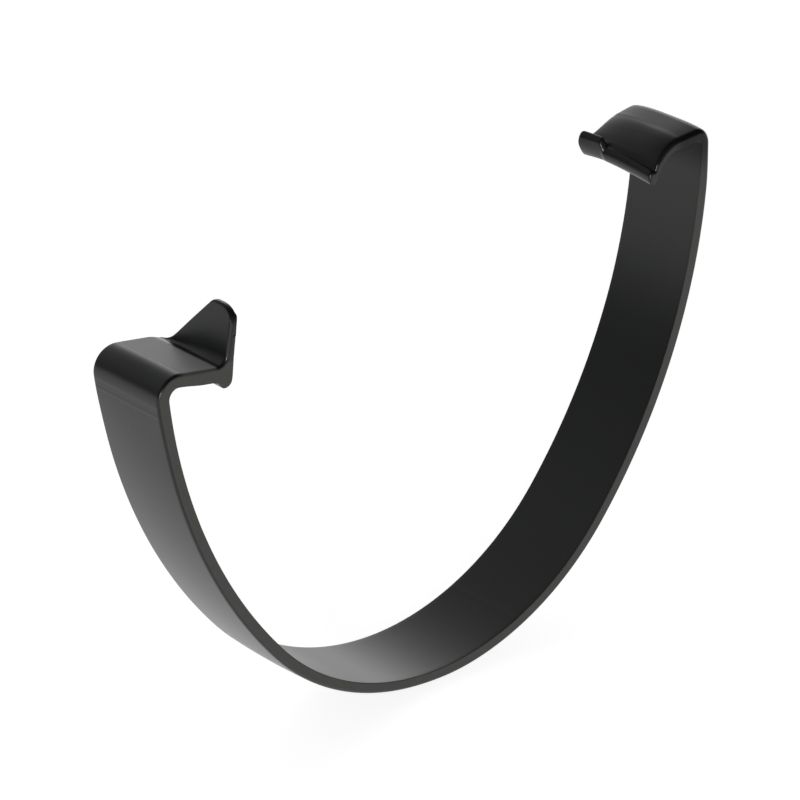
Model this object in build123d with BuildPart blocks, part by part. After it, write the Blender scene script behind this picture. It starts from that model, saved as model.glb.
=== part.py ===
"""Gutter bracket: a one-piece moulded strap that wraps under a deep gutter and snaps over its two rims.

Frame: X runs across the gutter, with the front rim at -X and the wall rim at +X. Y runs along the gutter.
Z points up. The origin is where the gutter's lowest line rests on the strap, in the middle of its width.
"""
import os
from math import acos, cos, degrees, radians

from build123d import *

# The strap, in millimetres and degrees
strap_width = 16.4
strap_thickness = 2.2
outer_edge_round = 0.6

# The gutter's outside, which the strap's inner face follows: a tight arc below, flatter flanks above
seat_radius = 46.0
seat_half_angle = 49.5
flank_radius = 96.0

# Front end: the arm bends in to a ledge, which ends in a rounded nose with a barb below it
front_arm_height = 67.5
front_bend_radius = 1.7
front_droop = 9.5
front_ledge_length = 10.7
nose_radius = 1.7
barb_depth = 1.15
barb_lead = 1.3
barb_flat = 0.8
barb_back = 1.0
barb_round = 0.5

# Thumb ear: a fin on the front ledge's nose, tall at its near side and sloping down to nothing
ear_height = 9.3
ear_root_thickness = 1.8
ear_tip_thickness = 1.05
ear_lean = 0.45
ear_foot_radius = 1.6
ear_flat_top = 5.1
ear_end_margin = 0.9
ear_near_round = 3.6
ear_far_round = 1.5

# Wall end: the arm bends in to a ledge, whose lip curls down inside the gutter's rim
wall_arm_height = 78.6
wall_bend_radius = 0.8
wall_droop = 4.0
wall_ledge_length = 3.6
lip_toe_setback = 0.9
lip_toe_thickness = 1.1

# The lip twists along the gutter. Each line gives three values, for its near end, its middle and its far end:
# how far it reaches in, and how far its shoulder, knee, brow, ridge and toe lie below the ledge's top
lip_reach = (7.8, 7.9, 8.5)
lip_shoulder_drop = (0.05, 0.15, 0.7)
lip_knee_drop = (1.6, 1.7, 2.0)
lip_brow_drop = (4.1, 3.6, 3.0)
lip_ridge_drop = (5.4, 4.9, 3.8)
lip_toe_drop = (6.2, 5.8, 5.6)
lip_shoulder_place = 2.2
lip_knee_place = 5.0
lip_brow_setback = 1.4

# A small tab stands on the lip's far end, over its ridge
tab_length = 5.3
tab_height = 2.1
tab_sink = 2.4
tab_thickness = 1.1
tab_setback = 0.15
tab_round = 0.6

half_width = strap_width / 2
half_thickness = strap_thickness / 2


def flank_angle(height):
    """Angle round the flank, from straight down, at which the strap's middle line reaches that height."""
    centre_height = seat_radius + (flank_radius - seat_radius) * cos(radians(seat_half_angle))
    return degrees(acos((centre_height - height) / (flank_radius + half_thickness)))


def half_spine(side, arm_height, bend_radius, droop, ledge_length):
    """Middle line of one half of the strap: from the bottom up the arm, round the bend, along the ledge."""
    rise = flank_angle(arm_height)
    seat = JernArc((0, -half_thickness), (side, 0), seat_radius + half_thickness, side * seat_half_angle)
    flank = JernArc(seat @ 1, seat % 1, flank_radius + half_thickness, side * (rise - seat_half_angle))
    bend = JernArc(flank @ 1, flank % 1, bend_radius + half_thickness, side * (180 + droop - rise))
    Line(bend @ 1, bend @ 1 + (bend % 1) * ledge_length)


def strap_section(side, start):
    """The strap's cross-section at the bottom: the two outer edges are rounded, the inner ones are sharp."""
    with BuildSketch(Plane(origin=start, x_dir=(0, side, 0), z_dir=(side, 0, 0))) as section:
        Rectangle(strap_width, strap_thickness)
        outer_corners = section.vertices().group_by(Axis.Y)[0]
        fillet(outer_corners, radius=outer_edge_round)
    return section.sketch


def end_plane(spine, side):
    """Plane across the strap's end: x points inward along the ledge, y up, z along or against the gutter."""
    return Plane(origin=spine @ 1, x_dir=spine % 1, z_dir=(0, side, 0))


with BuildLine(Plane.XZ) as front_half:
    half_spine(-1, front_arm_height, front_bend_radius, front_droop, front_ledge_length)
with BuildLine(Plane.XZ) as wall_half:
    half_spine(1, wall_arm_height, wall_bend_radius, wall_droop, wall_ledge_length)
front_spine = front_half.wires()[0]
wall_spine = wall_half.wires()[0]
front_end = end_plane(front_spine, -1)
wall_end = end_plane(wall_spine, 1)

with BuildPart() as strap:
    sweep(strap_section(-1, front_spine @ 0), path=front_spine)
    sweep(strap_section(1, wall_spine @ 0), path=wall_spine)

    # The barb hangs below the front ledge's nose, over the strap's whole width
    with BuildSketch(front_end) as barb:
        with BuildLine():
            Polyline(
                (-barb_back - barb_flat - barb_lead, -half_thickness),
                (-barb_back - barb_flat, -half_thickness - barb_depth),
                (-barb_back, -half_thickness - barb_depth),
                (0, -half_thickness),
                (0, 0),
                (-barb_back - barb_flat - barb_lead, 0),
                close=True,
            )
        make_face()
        fillet(barb.vertices().group_by(Axis.Y)[0], radius=barb_round)
    extrude(amount=half_width, both=True)

    # The nose's top corner is rounded off
    with BuildSketch(front_end) as nose_cut:
        with Locations((0, half_thickness)):
            Rectangle(2 * nose_radius, 2 * nose_radius)
        with Locations((-nose_radius, half_thickness - nose_radius)):
            Circle(nose_radius, mode=Mode.SUBTRACT)
    extrude(amount=strap_width, both=True, mode=Mode.SUBTRACT)

# The ear is the meeting of two extrusions: its drafted thickness along the gutter, its outline across it
ear_top = half_thickness + ear_height
ear_bottom = half_thickness - nose_radius
ear_foot = ear_root_thickness + 2 * ear_foot_radius
with BuildPart() as ear:
    with BuildSketch(front_end) as ear_thickness:
        with BuildLine():
            Polyline(
                (0, ear_bottom),
                (0, half_thickness),
                (-ear_lean, ear_top),
                (-ear_lean - ear_tip_thickness, ear_top),
                (-ear_root_thickness, half_thickness),
                (-ear_foot, half_thickness),
                (-ear_foot, ear_bottom),
                close=True,
            )
        make_face()
        foot_corner = ear_thickness.vertices().sort_by_distance((-ear_root_thickness, half_thickness))[0]
        fillet(foot_corner, radius=ear_foot_radius)
    extrude(amount=half_width, both=True)
    with BuildSketch(Plane(origin=front_end.origin, x_dir=(0, 1, 0), z_dir=front_end.x_dir)) as ear_outline:
        with BuildLine():
            Polyline(
                (-half_width, ear_bottom),
                (-half_width, ear_top),
                (-half_width + ear_flat_top, ear_top),
                (half_width - ear_end_margin, ear_bottom),
                close=True,
            )
        make_face()
        near_corner = ear_outline.vertices().sort_by_distance((-half_width, ear_top))[0]
        fillet(near_corner, radius=ear_near_round)
        slope_corner = ear_outline.vertices().sort_by_distance((-half_width + ear_flat_top, ear_top))[0]
        fillet(slope_corner, radius=ear_far_round)
    extrude(amount=ear_foot, both=True, mode=Mode.INTERSECT)

    # The strap's rounded near edge runs on round the ear's outer side
    outer_rim = front_end.from_local_coords((-ear_root_thickness, ear_top / 2, half_width))
    fillet(ear.edges().sort_by_distance(outer_rim)[0], radius=outer_edge_round)


def lip_section(place, reach, shoulder_drop, knee_drop, brow_drop, ridge_drop, toe_drop):
    """Outline of the lip across the ledge at one place along it, from the ledge's end to the toe and back."""
    shoulder = Vector(lip_shoulder_place, half_thickness - shoulder_drop)
    knee = Vector(lip_knee_place, half_thickness - knee_drop)
    brow = Vector(reach - lip_brow_setback, half_thickness - brow_drop)
    ridge = Vector(reach, half_thickness - ridge_drop)
    toe = Vector(reach - lip_toe_setback, half_thickness - toe_drop)
    heel = toe - Vector(lip_toe_thickness, 0)
    inside_knee = knee - Vector(strap_thickness / 2, 0.6 * strap_thickness)
    with BuildSketch(wall_end.offset(place)) as section:
        with BuildLine():
            top = Spline((0, half_thickness), shoulder, knee, brow, tangents=[(1, 0), (0.35, -1)])
            front = Spline(top @ 1, ridge, toe)
            Line(toe, heel)
            under = Spline(heel, inside_knee, (0, -half_thickness), tangents=[(-0.2, 1), (-1, 0)])
            Line(under @ 1, top @ 0)
        make_face()
    return section.sketch


with BuildPart() as lip:
    lip_places = (-half_width, 0, half_width)
    lip_drops = zip(lip_shoulder_drop, lip_knee_drop, lip_brow_drop, lip_ridge_drop, lip_toe_drop)
    loft([lip_section(place, reach, *drops) for place, reach, drops in zip(lip_places, lip_reach, lip_drops)])

    # The strap's rounded edges run on along the lip's top
    for side in (-half_width, half_width):
        top_rim = wall_end.from_local_coords((lip_knee_place / 2, half_thickness, side))
        fillet(lip.edges().sort_by_distance(top_rim)[0], radius=outer_edge_round)

    tab_face = wall_end.from_local_coords(Vector(lip_reach[-1] - tab_setback, 0, 0))
    with BuildSketch(Plane(origin=tab_face, x_dir=(0, 1, 0), z_dir=-wall_end.x_dir)) as tab:
        with Locations((half_width - tab_length / 2, tab_height / 2 - tab_sink)):
            Rectangle(tab_length, tab_height)
        near_top = tab.vertices().group_by(Axis.Y)[-1].sort_by(Axis.X)[0]
        fillet(near_top, radius=tab_round)
    extrude(amount=tab_thickness)

os.makedirs("parts", exist_ok=True)
gutter_bracket = strap.part + ear.part + lip.part
gutter_bracket.label = "bracket"
export_step(gutter_bracket, "parts/bracket.step")
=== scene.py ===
# %% [markdown]
# # A moulded gutter bracket in Blender
# This bracket is one strap of black plastic. It wraps under a deep half-round gutter and clips over its two
# rims. The CAD frame gives its size and place. Blender gives the soft edges, the twisted lip and the finish.

# %% Load the frame and note the CAD model's box
from math import radians
import bmesh
import bpy
import numpy as np
from mathutils import Matrix, Vector


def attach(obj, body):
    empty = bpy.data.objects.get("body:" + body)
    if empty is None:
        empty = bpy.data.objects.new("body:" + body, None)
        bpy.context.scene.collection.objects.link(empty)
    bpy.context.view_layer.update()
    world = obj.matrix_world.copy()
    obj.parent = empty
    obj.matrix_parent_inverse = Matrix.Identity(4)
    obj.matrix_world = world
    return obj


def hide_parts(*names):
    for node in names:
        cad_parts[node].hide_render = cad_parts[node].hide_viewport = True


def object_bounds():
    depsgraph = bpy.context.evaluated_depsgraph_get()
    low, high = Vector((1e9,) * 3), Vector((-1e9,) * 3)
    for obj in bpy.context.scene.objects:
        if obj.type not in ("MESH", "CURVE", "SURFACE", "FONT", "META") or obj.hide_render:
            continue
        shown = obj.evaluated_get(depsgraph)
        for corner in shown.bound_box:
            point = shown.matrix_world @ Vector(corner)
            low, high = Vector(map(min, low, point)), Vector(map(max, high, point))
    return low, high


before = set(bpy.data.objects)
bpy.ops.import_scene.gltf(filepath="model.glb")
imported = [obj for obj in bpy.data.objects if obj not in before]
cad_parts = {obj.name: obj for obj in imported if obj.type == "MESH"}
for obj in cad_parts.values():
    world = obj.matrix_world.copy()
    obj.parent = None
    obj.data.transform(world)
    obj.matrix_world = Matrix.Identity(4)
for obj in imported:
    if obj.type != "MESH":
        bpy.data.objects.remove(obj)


def as_lists(box):
    """A box as plain lists of numbers, for the print and the floor."""
    return [[float(value) for value in corner] for corner in box]


cad_box = as_lists(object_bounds())
print("CAD box in mm:", [[round(1000 * value, 2) for value in corner] for corner in cad_box])

# %% [markdown]
# ## The strap's line
# Seen from its side, the strap is a chain of arcs and straight runs that meet smoothly: a tight arc under the
# gutter, a flatter arc up each flank, a bend, and a ledge. A curve object with a bevel would give it a round
# section, and a modifier would smooth the edges away. So the script works out points and directions, in
# millimetres, and both faces of the strap are the same line moved to one side.

# %% Sizes that the mesh shares with the CAD model
WIDTH = 16.4
THICK = 2.2
HALF = WIDTH / 2
TOP = THICK / 2
SEAT_RADIUS = 46.0
SEAT_ANGLE = radians(49.5)
FLANK_RADIUS = 96.0
FRONT = dict(side=-1, arm_height=67.5, bend_radius=1.7, droop=radians(9.5), ledge=10.7)
WALL = dict(side=1, arm_height=78.6, bend_radius=0.8, droop=radians(4.0), ledge=3.6)

# Points along each run of the line
SEAT_POINTS = 90
FLANK_POINTS = 130
BEND_POINTS = 28
LEDGE_POINTS = 12


def arc(centre, radius, start, end, count):
    """Points round a centre, and their outward directions, for angles measured from straight down."""
    angle = np.linspace(start, end, count)
    out = np.c_[np.sin(angle), -np.cos(angle)]
    return np.asarray(centre) + radius * out, out


def half_strap(side, arm_height, bend_radius, droop, ledge, offset):
    """One half of the strap's line, moved outward from its middle, then the ledge's end, its way along and up."""
    flank_centre = np.array([(SEAT_RADIUS - FLANK_RADIUS) * np.sin(SEAT_ANGLE),
                             SEAT_RADIUS + (FLANK_RADIUS - SEAT_RADIUS) * np.cos(SEAT_ANGLE)])
    middle = THICK / 2
    rise = np.arccos((flank_centre[1] - arm_height) / (FLANK_RADIUS + middle))
    seat, _ = arc((0, SEAT_RADIUS), SEAT_RADIUS + middle + offset, 0, SEAT_ANGLE, SEAT_POINTS)
    flank, _ = arc(flank_centre, FLANK_RADIUS + middle + offset, SEAT_ANGLE, rise, FLANK_POINTS)
    bend_at = np.array([np.sin(rise), -np.cos(rise)])
    bend_centre = flank_centre + bend_at * (FLANK_RADIUS - bend_radius)
    last = np.pi + droop
    bend, bend_out = arc(bend_centre, bend_radius + middle + offset, rise, last, BEND_POINTS)
    along = np.array([np.cos(last), np.sin(last)])
    run = bend[-1] + np.linspace(0, ledge, LEDGE_POINTS)[:, None] * along
    points = np.vstack([seat, flank[1:], bend[1:], run[1:]])
    end = points[-1] - bend_out[-1] * offset
    flip = np.array([side, 1])
    return points * flip, end * flip, along * flip, bend_out[-1] * flip


front_outer, *FRONT_LEDGE = half_strap(**FRONT, offset=TOP)
front_inner = half_strap(**FRONT, offset=-TOP)[0]
wall_outer, *WALL_LEDGE = half_strap(**WALL, offset=TOP)
wall_inner = half_strap(**WALL, offset=-TOP)[0]
print("front ledge ends at", FRONT_LEDGE[0].round(2), "and the wall ledge at", WALL_LEDGE[0].round(2), "mm")

# %% [markdown]
# ## The two ends
# Both ends change across the strap's width. The ear is tall at the near side and slopes to nothing. The lip
# curls down steeply at the near side and reaches out at the far side, where it carries a small tab. So each end
# is drawn as an outline that depends on y, the place along the gutter. An outline is a list of points along the
# ledge and above it, in millimetres from the ledge's end. A curve through a few control points draws the rest.

# %% Smooth helpers
def ease(value):
    """0 below 0, 1 above 1, and a smooth step between."""
    t = np.clip(value, 0, 1)
    return t * t * (3 - 2 * t)


def mix(a, b, t):
    """a at t = 0, b at t = 1, and a straight run between."""
    return a + (b - a) * t


def line(p, q, count):
    """Evenly spaced points from p to q."""
    t = np.linspace(0, 1, count)[:, None]
    return np.asarray(p, float) * (1 - t) + np.asarray(q, float) * t


def corner(p, q, r, radius, count):
    """Round the corner at q, between the lines from p and to r, with an arc of the radius."""
    p, q, r = (np.asarray(v, float) for v in (p, q, r))
    a = (p - q) / np.linalg.norm(p - q)
    b = (r - q) / np.linalg.norm(r - q)
    half = np.arccos(np.clip(a @ b, -1, 1)) / 2
    reach = radius / np.tan(half)
    centre = q + (a + b) / np.linalg.norm(a + b) * radius / np.sin(half)
    start = q + a * reach - centre
    stop = q + b * reach - centre
    turn = np.arctan2(start[0] * stop[1] - start[1] * stop[0], start @ stop)
    angle = np.linspace(0, turn, count)
    c, s = np.cos(angle), np.sin(angle)
    return centre + np.c_[start[0] * c - start[1] * s, start[0] * s + start[1] * c]


def through(points, steps):
    """A smooth curve through the points (Catmull-Rom), with a number of steps from each to the next."""
    p = np.asarray(points, float)
    p = np.vstack([2 * p[0] - p[1], p, 2 * p[-1] - p[-2]])
    t = np.linspace(0, 1, steps, endpoint=False)[:, None]
    rows = []
    for a, b, c, d in zip(p[:-3], p[1:-2], p[2:-1], p[3:]):
        bend = (2 * a - 5 * b + 4 * c - d) * t**2
        rows.append(0.5 * (2 * b + (c - a) * t + bend + (3 * b - a - 3 * c + d) * t**3))
    return np.vstack(rows + [p[-2:-1]])


print("a right-angled corner of radius 1 starts at", corner((3, 0), (0, 0), (0, 3), 1, 5)[0].round(2))

# %% The front end: ledge nose, barb and ear
# Heights, thicknesses and radii of the ear and the nose. The foot's radius is given at its near and its far side.
EAR_TOP = 9.45
EAR_ROOT = 1.8
NOSE_ROOT = 1.7
EAR_TIP = 1.05
EAR_LEAN = 0.45
EAR_FLAT = 5.1
EAR_END_MARGIN = 0.9
EAR_NEAR_ROUND = 4.0
EAR_NEAR_POWER = 2.7
EAR_FAR_ROUND = 0.65
EAR_FLARE = 0.7
EAR_FOOT = (1.6, 0.5)
EAR_CORNER = 0.4
NOSE_RADIUS = 1.7
BARB_SAG = 0.28
# The barb's points, from the nose's lower end back along the ledge's underside
BARB = [(-0.1, -1.4), (-0.5, -1.95), (-1.15, -2.25), (-1.75, -2.2), (-2.3, -1.75), (-2.9, -1.32),
        (-3.8, -TOP - 0.02), (-4.6, -TOP)]
# The front end's outline starts inside the ledge, at the end of the bend
LEDGE_START = -10.5
# Places in the front end's outline, counted in points: the ear's foot, its two top corners and the nose
FOOT_AT, OUTER_AT, INNER_AT, NOSE_AT = 24, 57, 60, 90


def ear_height(y):
    """Height of the ear above the ledge at y: rounded near corner, short top, long slope with a flared foot."""
    d = y + HALF
    slope_run = WIDTH - EAR_FLAT - EAR_END_MARGIN
    drop = (EAR_TOP + NOSE_RADIUS) / slope_run
    top = EAR_TOP - drop * max(d - EAR_FLAT, 0.0)
    if abs(d - EAR_FLAT) < EAR_FAR_ROUND:
        top -= drop * (EAR_FAR_ROUND - abs(d - EAR_FLAT))**2 / (4 * EAR_FAR_ROUND)
    if d < EAR_NEAR_ROUND:
        top -= EAR_NEAR_ROUND * (1 - (1 - (1 - d / EAR_NEAR_ROUND)**EAR_NEAR_POWER)**(1 / EAR_NEAR_POWER))
    flared = EAR_FLARE * np.log(1 + np.exp(top / EAR_FLARE))
    return max(flared - 0.02, 0.0)


def front_tip(y):
    """The front end's outline at y, from the ledge's top round the ear, nose and barb to its underside."""
    h = ear_height(y)
    foot = min(mix(*EAR_FOOT, ease((y + 6) / 11)), 0.7 * h) + 1e-3
    root = mix(NOSE_ROOT, EAR_ROOT, ease(h / 2))
    lean = EAR_LEAN * h / EAR_TOP
    thickness = mix(root, EAR_TIP, h / EAR_TOP)
    outer = EAR_CORNER * min(1, h) + 1e-3
    inner = max(0.15, NOSE_RADIUS - 1.1 * h)
    top = TOP + h
    foot_corner = (-root - 0.002, TOP)
    outer_corner = (-lean - thickness, top)
    inner_corner = (-lean, top)
    low = (0.0, TOP - NOSE_RADIUS - 0.01)
    # The last number of each run is its count of points, which is the same for every y
    if h > 0.02:
        a = corner((-8.0, TOP), foot_corner, outer_corner, foot, 10)
        b = corner(foot_corner, outer_corner, inner_corner, outer, 8)
    else:
        a = line((-root - 1.0, TOP), (-root - 0.6, TOP), 10)
        b = line((-root - 0.2, TOP), (-root - 0.05, TOP), 8)
    c = corner((-lean - 3, top), inner_corner, low, inner, 10)
    wall = line(a[-1], b[0], 26)[1:-1]
    face = line(c[-1], low, 26)[1:-1]
    nose = through([low] + BARB, 5)
    start = line((LEDGE_START, TOP), a[0], 18)[:-1]
    under = line(BARB[-1], (LEDGE_START, -TOP), 16)[1:]
    points = np.vstack([start, a, wall, b, c, face, nose, under])
    # The ledge's underside sags a little towards the barb
    points[:, 1] -= BARB_SAG * ease((points[:, 0] - LEDGE_START) / 5) * ease((-points[:, 1] - 0.4) / 0.6)
    return points


print("outline points of the front end:", len(front_tip(0.0)))
print("ear height at y = -5 and 7 mm:", [round(float(ear_height(y)), 2) for y in (-5.0, 7.0)])

# %% The wall end: curled, twisted lip with its tab
# Control points at the near side, the middle, the far side and on the tab: the top, the bead, the toe, the underside
LIP_NEAR = [(0.0, 1.1), (1.3, 1.08), (2.6, 0.8), (3.9, 0.25), (4.9, -0.45), (5.7, -1.3), (6.1, -2.0), (6.4, -2.8),
            (6.62, -3.2), (7.2, -3.08), (7.7, -3.4), (7.98, -4.1), (7.9, -4.95), (7.4, -5.5), (6.65, -5.5),
            (6.0, -4.4), (5.3, -3.4), (4.4, -2.35), (3.3, -1.5), (2.0, -1.13), (1.0, -1.1), (0.0, -1.1)]
LIP_MIDDLE = [(0.0, 1.1), (1.3, 1.05), (2.6, 0.72), (3.9, 0.15), (4.9, -0.4), (5.7, -0.95), (6.25, -1.35),
              (6.6, -1.85), (6.8, -2.07), (7.2, -2.0), (7.55, -2.3), (7.95, -3.1), (7.85, -3.9), (7.4, -4.65),
              (6.8, -4.75), (6.0, -4.2), (5.2, -3.25), (4.3, -2.35), (3.2, -1.6), (2.0, -1.18), (1.0, -1.1),
              (0.0, -1.1)]
LIP_FAR = [(0.0, 1.1), (1.3, 0.75), (2.6, 0.28), (3.9, -0.3), (4.9, -0.75), (5.7, -1.1), (6.2, -1.3),
           (6.6, -1.45), (6.95, -1.55), (7.5, -1.45), (8.2, -1.6), (8.7, -2.3), (8.85, -2.9), (8.3, -3.65),
           (7.4, -4.65), (6.4, -4.5), (5.3, -3.5), (4.3, -2.8), (3.2, -2.1), (2.0, -1.5), (1.0, -1.2),
           (0.0, -1.1)]
TAB_POINTS = [(6.3, -1.35), (6.8, -1.25), (7.05, -0.7), (7.35, -0.12), (8.0, 0.0), (8.65, -0.65), (8.85, -1.9),
              (8.3, -3.4), (7.4, -4.65)]
LIP_TAB = LIP_FAR[:6] + TAB_POINTS + LIP_FAR[15:]
LIP_STEPS = 7
TAB_START = 2.5
TAB_RAMP = 1.2


def wall_tip(y):
    """The wall end's outline at y, from the ledge's underside round the toe and up the lip's top to the ledge."""
    t = (y + HALF) / WIDTH
    rise = ease((y - TAB_START) / TAB_RAMP)
    near, middle, far, tab = (np.asarray(v) for v in (LIP_NEAR, LIP_MIDDLE, LIP_FAR, LIP_TAB))
    points = near * (1 - t) * (1 - 2 * t) + middle * 4 * t * (1 - t) + far * t * (2 * t - 1) + (tab - far) * rise
    return through(points, LIP_STEPS)[::-1]


print("outline points of the wall end:", len(wall_tip(0.0)))

# %% [markdown]
# ## From outlines to one mesh
# The outline runs once round the whole bracket. The mesh is a row of such outlines, from the near side face to
# the far one, joined by quads. The outer edges of a moulding are rounded, because the cutter that made the mould
# was, and the inner ones are nearly sharp. The first and last rings follow that rounding, with a radius for each
# point. Thick plastic shrinks as it cools, so both ledges are softly crowned and their far corners hang a little.

# %% The whole outline at one place along the gutter
# The front ledge belongs to the front end's outline, so the arm's two runs leave it out
outer_run = front_outer[1:1 - LEDGE_POINTS]
inner_run = front_inner[1:1 - LEDGE_POINTS][::-1]
tips = len(front_tip(0.0)), len(wall_tip(0.0)) - 2
counts = [len(wall_outer), len(outer_run), tips[0], len(inner_run), len(wall_inner), tips[1]]
front_outer_at, front_tip_at, front_inner_at, _, wall_tip_at, total = np.cumsum(counts)


def placed(local, end, along, up):
    """Points given along and above a ledge's end, in the bracket's own place."""
    return end + local[:, :1] * along + local[:, 1:] * up


# Each pair is a place along the ledge, counted from its end, and how far the far corner hangs there
FRONT_HANG = [(-15, 0), (-13, 0.1), (-10, 0), (-3.5, 0), (-1.5, 0.55), (-0.5, 0.4), (1, 0.2)]
WALL_HANG = [(-4.5, 0), (-2.8, 0.02), (-1, 0.2), (0, 0.34), (2.8, 0.2), (5, 0.0), (7, 0), (8.5, 0.1)]
HANG_BLUR = np.linspace(-0.9, 0.9, 9)
HANG_DEPTH = 9
HANG_FADE = 6


def hang(points, end, along, up, profile, amount):
    """Lowers an end's far corner: a drop for each place along the ledge, which fades out below it."""
    reach = (points - end) @ along
    drop = np.mean([np.interp(reach + shift, *np.transpose(profile)) for shift in HANG_BLUR], axis=0)
    drop *= ease(((points - end) @ up + HANG_DEPTH) / HANG_FADE)
    return points - drop[:, None] * up * amount


def outline(y):
    """The closed outline at y, with the far corner of both ledges hanging a little."""
    front = placed(front_tip(y), *FRONT_LEDGE)
    wall = placed(wall_tip(y), *WALL_LEDGE)[1:-1]
    loop = np.vstack([wall_outer[::-1], outer_run, front, inner_run, wall_inner, wall])
    amount = max(y / HALF, 0)**2
    loop = hang(loop, *FRONT_LEDGE, FRONT_HANG, amount)
    return hang(loop, *WALL_LEDGE, WALL_HANG, amount)


print("points in the outline:", total)

# %% Rounding and crown of each point
OUTER_ROUND = 0.6
WALL_TOP_ROUND = 0.8
INNER_ROUND = 0.14
EAR_ROUND = 0.75
EAR_BACK_ROUND = 0.35
# One radius for each of the lip's control points
LIP_ROUND = [0.8, 0.8, 0.8, 0.8, 0.7, 0.6, 0.5, 0.5] + [0.6] * 4 + [0.4, 0.4, 0.3, 0.25, 0.2] + [0.14] * 5
LEDGE_CROWN = 0.42
BACK_CROWN = 0.24
WALL_CROWN = 0.05
BEND_AND_LEDGE = BEND_POINTS + LEDGE_POINTS - 2
WALL_TOP_POINTS = BEND_AND_LEDGE + 10
LIP_CROWN_POINTS = 40
ROUND_BLUR = 4
CROWN_BLUR = 7


def smooth_along(values, reach):
    """Averages over neighbours on the closed outline."""
    kernel = np.ones(2 * reach + 1) / (2 * reach + 1)
    return np.convolve(np.r_[values[-reach:], values, values[:reach]], kernel, mode="valid")


rounding = np.full(total, INNER_ROUND)
rounding[:front_tip_at + OUTER_AT] = OUTER_ROUND
rounding[:WALL_TOP_POINTS] = WALL_TOP_ROUND
lip_place = np.arange(LIP_STEPS * (len(LIP_ROUND) - 1) + 1) / LIP_STEPS
rounding[wall_tip_at:] = np.interp(lip_place, np.arange(len(LIP_ROUND)), LIP_ROUND)[-2:0:-1]
rounding[front_tip_at + FOOT_AT:front_tip_at + INNER_AT] = EAR_ROUND
rounding[front_tip_at + INNER_AT:front_tip_at + NOSE_AT] = EAR_BACK_ROUND
rounding = smooth_along(rounding, ROUND_BLUR)
crown = np.zeros(total)
crown[:front_outer_at] = WALL_CROWN
crown[front_outer_at:front_tip_at - BEND_AND_LEDGE] = BACK_CROWN
crown[:BEND_AND_LEDGE] = LEDGE_CROWN
crown[-LIP_CROWN_POINTS:] = LEDGE_CROWN
crown = smooth_along(smooth_along(crown, CROWN_BLUR), CROWN_BLUR)
# The crown is round on the arms and flatter in the middle on the ledges
crown_power = 2 + 2 * ease((crown - BACK_CROWN) / (LEDGE_CROWN - BACK_CROWN))
print("rounding goes from", rounding.min().round(2), "to", rounding.max().round(2), "mm")

# %% [markdown]
# Each ring is the outline at its own y, moved inward by the rounding and the crown. Ten rings over a quarter turn
# make each rounded edge. The mesh shades smoothly, apart from the edges that turn sharply.

# %% Rings from side to side
SHARP_ANGLE = radians(38)
turn = np.radians(np.arange(0, 91, 10))
# The rings between the rounded edges stand close together where the tab starts
inner_stations = np.r_[np.arange(-7.3, 2.3, 0.4), np.arange(2.45, 3.75, 0.08), np.arange(4.0, 7.3, 0.4)]
rings = [(-HALF, -1, angle) for angle in turn] + [(y, 0, np.pi / 2) for y in inner_stations]
rings += [(HALF, 1, angle) for angle in turn[::-1]]

coords = np.zeros((len(rings), total, 3))
for k, (y, side, angle) in enumerate(rings):
    depth = y - side * rounding * (1 - np.cos(angle))
    flat = outline(y - side * OUTER_ROUND * (1 - np.cos(angle)))
    ahead = np.roll(flat, -1, axis=0) - np.roll(flat, 1, axis=0)
    ahead /= np.linalg.norm(ahead, axis=1)[:, None]
    outward = np.c_[-ahead[:, 1], ahead[:, 0]]
    inset = rounding * (1 - np.sin(angle)) + crown * abs(depth / HALF)**crown_power
    moved = flat - outward * inset[:, None]
    coords[k] = np.c_[moved[:, 0], depth, moved[:, 1]]


def strap_mesh(name, coords):
    """One closed mesh from rings of points: quads between rings, and a flat side face at each end ring."""
    mesh = bpy.data.meshes.new(name)
    bm = bmesh.new()
    verts = [[bm.verts.new(Vector(p) / 1000) for p in ring] for ring in coords]
    for a, b in zip(verts[:-1], verts[1:]):
        for i in range(total):
            j = (i + 1) % total
            bm.faces.new((a[i], a[j], b[j], b[i])).smooth = True
    for ring in (verts[0], verts[-1]):
        outer = ring[:front_tip_at]
        inner = ring[front_inner_at:wall_tip_at][::-1]
        for i in range(len(outer) - 1):
            bm.faces.new((outer[i], outer[i + 1], inner[i + 1], inner[i]))
        bm.faces.new(ring[front_tip_at - 1:front_inner_at + 1])
        bm.faces.new(ring[wall_tip_at - 1:] + [ring[0]])
    bmesh.ops.recalc_face_normals(bm, faces=bm.faces)
    for edge in bm.edges:
        edge.smooth = edge.calc_face_angle(0) < SHARP_ANGLE
    volume = bm.calc_volume() * 1e9
    bm.to_mesh(mesh)
    bm.free()
    print(name, "has", len(mesh.polygons), "faces and a volume of", round(volume), "cubic mm")
    piece = bpy.data.objects.new(name, mesh)
    bpy.context.scene.collection.objects.link(piece)
    return piece


bracket = strap_mesh("moulded_bracket", coords)

# %% [markdown]
# ## The plastic
# Gutter fittings are moulded from PVC-U, a hard plastic that is coloured all through. Black PVC-U is semi-gloss
# where the mould was polished, and duller and greyer on the side faces, where the mould was only milled. The ear and
# the lip keep the top's gloss and black on their side faces; on the lip that black is painted shade. The wall's top
# corner reflects less, as painted shade. The top of the front ledge is rubbed dull, because fitters press it down.
# The colour is a little mottled, the skin has a fine orange-peel ripple, and faint lines and small bumps show where
# the mould's parts met.

# %% Colours and nodes
def linear(code):
    """An sRGB hex colour as linear red, green, blue and alpha."""
    values = [int(code[i:i + 2], 16) / 255 for i in (1, 3, 5)]
    return [v / 12.92 if v <= 0.04045 else ((v + 0.055) / 1.055)**2.4 for v in values] + [1.0]


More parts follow.
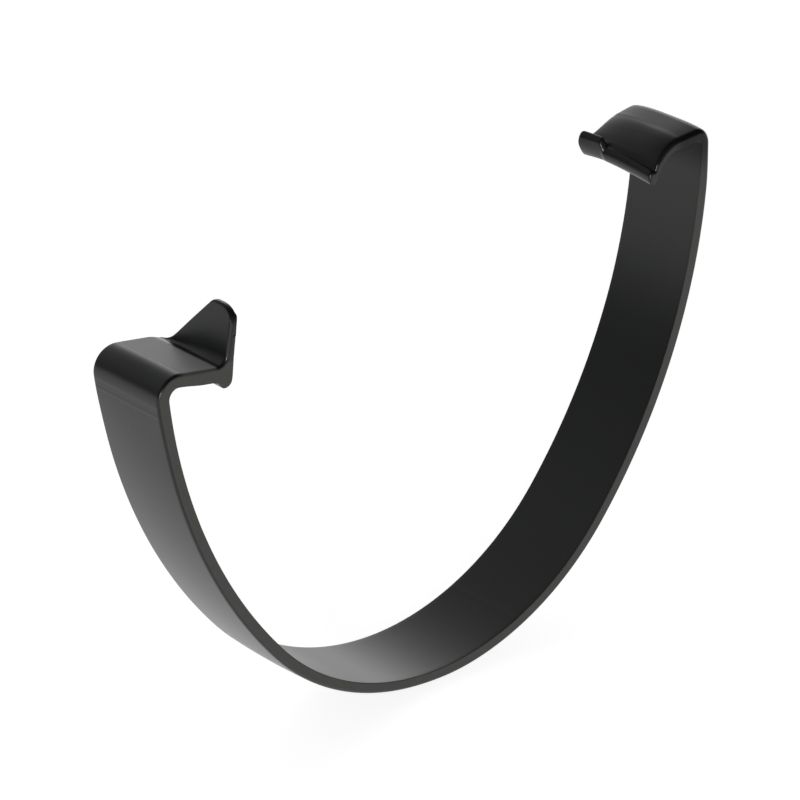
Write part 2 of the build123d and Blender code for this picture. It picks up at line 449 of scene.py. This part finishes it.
def add_node(tree, kind, inputs=(), **settings):
    """Adds a node with its settings. An input is a pair: an output to link or a plain value, and its name."""
    node = tree.nodes.new(kind)
    for name, value in settings.items():
        setattr(node, name, value)
    for source, key in inputs:
        if isinstance(source, bpy.types.NodeSocket):
            tree.links.new(source, node.inputs[key])
        else:
            node.inputs[key].default_value = source
    return node


print("the top's black in linear colour:", [round(value, 4) for value in linear("#0b0d0d")])

# %% [markdown]
# A finish is laid where limits on position say so. Positions are the piece's own, so the finish stays on it when it
# moves. On the front ledge they are measured along the ledge and above it, because the ledge slopes.

# %% Where each finish lies
MM = 0.001
plastic = bpy.data.materials.new("moulded_black_pvc_u")
plastic.use_nodes = True
tree = plastic.node_tree
shader = tree.nodes["Principled BSDF"]
place = add_node(tree, "ShaderNodeTexCoord").outputs["Object"]
axes = add_node(tree, "ShaderNodeSeparateXYZ", [(place, "Vector")])


def where(*limits):
    """A zone that fades from 0 to 1. Each limit is a value, where it is still out and where it is in, in mm."""
    steps = [add_node(tree, "ShaderNodeMapRange",
                      [(value, "Value"), (start * MM, "From Min"), (stop * MM, "From Max")],
                      interpolation_type="SMOOTHSTEP").outputs[0] for value, start, stop in limits]
    inside = steps[0]
    for step in steps[1:]:
        inside = add_node(tree, "ShaderNodeMath", [(inside, 0), (step, 1)], operation="MULTIPLY").outputs[0]
    return inside


def either(first, *others):
    """1 where at least one of the zones is 1."""
    widest = first
    for zone in others:
        widest = add_node(tree, "ShaderNodeMath", [(widest, 0), (zone, 1)], operation="MAXIMUM").outputs[0]
    return widest


# The ledge's own two directions, and where its end lies along them
ledge_end, ledge_along, ledge_up = FRONT_LEDGE
level = float(ledge_end @ ledge_up)
nose = float(ledge_end @ ledge_along)
over_ledge, down_ledge = [
    add_node(tree, "ShaderNodeVectorMath", [(place, 0), ((way[0], 0, way[1]), 1)],
             operation="DOT_PRODUCT").outputs["Value"]
    for way in (ledge_up, ledge_along)]
across, height = axes.outputs["X"], axes.outputs["Z"]
off_middle = add_node(tree, "ShaderNodeMath", [(axes.outputs["Y"], 0)], operation="ABSOLUTE").outputs[0]
# The ear stands above the ledge on the front half. The lip and its ledge are the highest part of the wall half. Side
# faces there keep the top's black, and on the lip that black is painted shade
ear_zone = where((over_ledge, level + 1.3, level + 2.2), (across, -10, -20))
lip_shade_zone = where((height, 66, 79), (across, 10, 20))
side_faces = where((off_middle, HALF - 0.14, HALF - 0.02))
side = add_node(tree, "ShaderNodeMath", [(side_faces, 0), (either(ear_zone, lip_shade_zone), 1)],
                operation="SUBTRACT", use_clamp=True).outputs[0]
# The worn patch is the front ledge's top, from the bend to the ear's foot
worn = where((over_ledge, level + 0.5, level + 0.9), (over_ledge, level + 1.6, level + 1.35),
             (down_ledge, nose - 11.5, nose - 9.5), (down_ledge, nose - 3.0, nose - 3.8))
# Painted shade: the wall's top corner, round its bend and ledge, gets a lower specular level so it reflects less
wall_corner_shade = where((across, 50.5, 54), (height, 72, 78))
print("nodes for the zones:", len(tree.nodes))

# %% Colour, gloss and ripple
# Real sizes in millimetres: the cloudy mottling of the pigment, then the waves of the orange peel and their height
MOTTLE_SIZE = 2.5
PEEL_SIZE = 1.2
RIPPLE_HEIGHT = 0.02
POLISHED = 0.3
DULL = 0.5
GLOSS = 0.36
# Specular level at the wall's top corner, lowered there as painted shade
SHADED_CORNER_GLOSS = 0.16
# Each pair holds the darker and the lighter colour of the mottling
TOP_COLOURS = [linear("#0b0d0d"), linear("#121414")]
SIDE_COLOURS = [linear("#41423e"), linear("#504f4b")]
shader.inputs["IOR"].default_value = 1.53
# The specular level drops at the wall's top corner, as painted shade in its reflections
gloss = add_node(tree, "ShaderNodeMapRange", [(wall_corner_shade, "Value"), (GLOSS, "To Min"), (SHADED_CORNER_GLOSS, "To Max")])
tree.links.new(gloss.outputs[0], shader.inputs["Specular IOR Level"])
mottle = add_node(tree, "ShaderNodeTexNoise", [(place, "Vector"), (1 / (MOTTLE_SIZE * MM), "Scale"), (4.0, "Detail")])
top_colour, side_colour = [
    add_node(tree, "ShaderNodeMix", [(mottle.outputs["Fac"], 0), (dark, 6), (light, 7)], data_type="RGBA")
    for dark, light in (TOP_COLOURS, SIDE_COLOURS)]
colour = add_node(tree, "ShaderNodeMix", [(side, 0), (top_colour.outputs[2], 6), (side_colour.outputs[2], 7)],
                  data_type="RGBA")
tree.links.new(colour.outputs[2], shader.inputs["Base Color"])
rough = add_node(tree, "ShaderNodeMapRange", [(either(side, worn), "Value"), (POLISHED, "To Min"), (DULL, "To Max")])
tree.links.new(rough.outputs[0], shader.inputs["Roughness"])
tree.links.new(worn, shader.inputs["Sheen Weight"])
peel = add_node(tree, "ShaderNodeTexNoise", [(place, "Vector"), (1 / (PEEL_SIZE * MM), "Scale"), (2.0, "Detail")])
ripple = add_node(tree, "ShaderNodeBump",
                  [(peel.outputs["Fac"], "Height"), (0.15, "Strength"), (RIPPLE_HEIGHT * MM, "Distance")])
print("mottling every", MOTTLE_SIZE, "mm and ripple every", PEEL_SIZE, "mm")

# %% Marks of the mould
# Start, middle and end height of each line on the front arm's back, then the centre and radius of each small bump
BACK_LINES = [(66.5, 67.2, 67.9), (64.9, 65.4, 65.9)]
BUMPS = [((-59.3, 0.3, 60.7), 0.9), ((-59.0, 1.6, 59.6), 0.4)]
LINE_HEIGHT = 0.25
MARK_HEIGHT = 0.12
front_back = (across, -45, -48)
off_edges = (off_middle, HALF - 0.1, HALF - 0.3)
lines = [where((height, start, middle), (height, end, middle), front_back, off_edges)
         for start, middle, end in BACK_LINES]
# One more line crosses the inside of the bottom
lines.append(where((across, 15.4, 16.5), (across, 17.3, 16.5), (height, 1.8, 2.4), off_edges))
marks = add_node(tree, "ShaderNodeMath", [(either(*lines), 0), (LINE_HEIGHT, 1)], operation="MULTIPLY").outputs[0]
for centre, radius in BUMPS:
    centre_m = [value * MM for value in centre]
    gap = add_node(tree, "ShaderNodeVectorMath", [(place, 0), (centre_m, 1)], operation="DISTANCE")
    marks = either(marks, where((gap.outputs["Value"], radius, 0.3 * radius)))
raised = add_node(tree, "ShaderNodeBump", [(marks, "Height"), (ripple.outputs[0], "Normal"), (0.7, "Strength"),
                                           (MARK_HEIGHT * MM, "Distance")])
tree.links.new(raised.outputs[0], shader.inputs["Normal"])
bracket.data.materials.append(plastic)
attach(bracket, "root")
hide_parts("bracket")
print("material", plastic.name, "has", len(tree.nodes), "nodes")

# %% [markdown]
# ## Floor, light and camera
# The bracket stands on pale paper, which also shines a little to the camera and in reflections, so that it shows
# white. It keeps the bracket's soft shadow.

# %% Floor
PAPER_LIFT = 0.82
FLOOR_REACH = 3.0
low = cad_box[0][2]
corners = [(x * FLOOR_REACH, y * FLOOR_REACH, low) for x, y in ((-1, -1), (1, -1), (1, 1), (-1, 1))]
floor_mesh = bpy.data.meshes.new("studio_floor")
floor_mesh.from_pydata(corners, [], [(0, 1, 2, 3)])
floor = bpy.data.objects.new("studio_floor", floor_mesh)
bpy.context.scene.collection.objects.link(floor)
paper = bpy.data.materials.new("white_paper")
paper.use_nodes = True
tree = paper.node_tree
tree.nodes.clear()
rays = add_node(tree, "ShaderNodeLightPath")
seen = rays.outputs["Is Camera Ray"]
for kind in ("Is Glossy Ray", "Is Transmission Ray"):
    seen = add_node(tree, "ShaderNodeMath", [(rays.outputs[kind], 0), (seen, 1)],
                    operation="ADD", use_clamp=True).outputs[0]
lift = add_node(tree, "ShaderNodeMath", [(seen, 0), (PAPER_LIFT, 1)], operation="MULTIPLY")
glow = add_node(tree, "ShaderNodeEmission", [(lift.outputs[0], "Strength"), ((1, 1, 1, 1), "Color")])
matt = add_node(tree, "ShaderNodeBsdfDiffuse", [(linear("#e7e7e7"), "Color")])
both = add_node(tree, "ShaderNodeAddShader", [(glow.outputs[0], 0), (matt.outputs[0], 1)])
add_node(tree, "ShaderNodeOutputMaterial", [(both.outputs[0], "Surface")])
floor_mesh.materials.append(paper)
print("floor at", round(1000 * low, 2), "mm")

# %% [markdown]
# The room is bright behind the bracket. Its strongest light lies low there and makes the pale sheen on the front
# ledge and inside the bottom. Weaker ones stand to the left, low and high, to the right, and above the strongest.
# The world's strength is the sum of these soft lights and a little light from everywhere. One small lamp behind the
# camera and lower than it makes the sparks on the rounded edges.

# %% World and lamp
# Azimuth and elevation in degrees of each soft light, and its strength
SKY = [(45, 6, 1.85), (135, 6, 0.08), (270, 6, 0.3), (90, 34, 0.46), (135, 34, 0.32), (45, 40, 0.12)]
FALL = 10.0
AMBIENT = 0.05
world = bpy.data.worlds.new("studio_room")
bpy.context.scene.world = world
world.use_nodes = True
tree = world.node_tree
tree.nodes.clear()
way = add_node(tree, "ShaderNodeTexCoord").outputs["Generated"]
strength = AMBIENT
for azimuth, elevation, peak in SKY:
    a, e = radians(azimuth), radians(elevation)
    centre = (np.cos(e) * np.cos(a), np.cos(e) * np.sin(a), np.sin(e))
    near = add_node(tree, "ShaderNodeVectorMath", [(way, 0), (centre, 1)], operation="DOT_PRODUCT")
    fall = add_node(tree, "ShaderNodeMath", [(near.outputs["Value"], 0), (FALL, 1), (np.log(peak) - FALL, 2)],
                    operation="MULTIPLY_ADD")
    glow = add_node(tree, "ShaderNodeMath", [(fall.outputs[0], 0)], operation="EXPONENT").outputs[0]
    strength = add_node(tree, "ShaderNodeMath", [(glow, 0), (strength, 1)], operation="ADD").outputs[0]
sky = add_node(tree, "ShaderNodeBackground", [(strength, "Strength"), ((1, 1, 1, 1), "Color")])
add_node(tree, "ShaderNodeOutputWorld", [(sky.outputs[0], "Surface")])

AIM = Vector((0, 0, 0.035))
LAMP_WAY = Vector((-0.73, -0.66, 0.19))
LAMP_DISTANCE = 1.2
lamp = bpy.data.lights.new("edge_light", "AREA")
lamp.shape = "RECTANGLE"
lamp.size = lamp.size_y = 0.12
lamp.energy = 5.0
edge_light = bpy.data.objects.new("edge_light", lamp)
edge_light.location = AIM + LAMP_WAY.normalized() * LAMP_DISTANCE
edge_light.rotation_euler = (AIM - edge_light.location).to_track_quat("-Z", "Y").to_euler()
bpy.context.scene.collection.objects.link(edge_light)
print("soft lights:", len(SKY), "and a lamp of", lamp.energy, "W")

# %% [markdown]
# A long lens looks down on the bracket from 0.7 m away, on the side of the front rim. Its place and lens were fitted
# to the bracket's outlines. The first three columns of the matrix are its axes, and the last is its place.

# %% Camera
camera_data = bpy.data.cameras.new("camera")
camera_data.sensor_width = 36
camera_data.lens = 190.35
camera_data.clip_start = 0.01
camera = bpy.data.objects.new("camera", camera_data)
bpy.context.scene.collection.objects.link(camera)
camera.matrix_world = Matrix(((0.7437, 0.2905, -0.6021, -0.4196), (-0.6685, 0.3234, -0.6697, -0.46359),
                              (0.0002, 0.9006, 0.4347, 0.34847), (0, 0, 0, 1)))
bpy.context.scene.camera = camera
bpy.context.scene.view_settings.view_transform = "Standard"
print("camera with a lens of", round(camera_data.lens, 1), "mm")
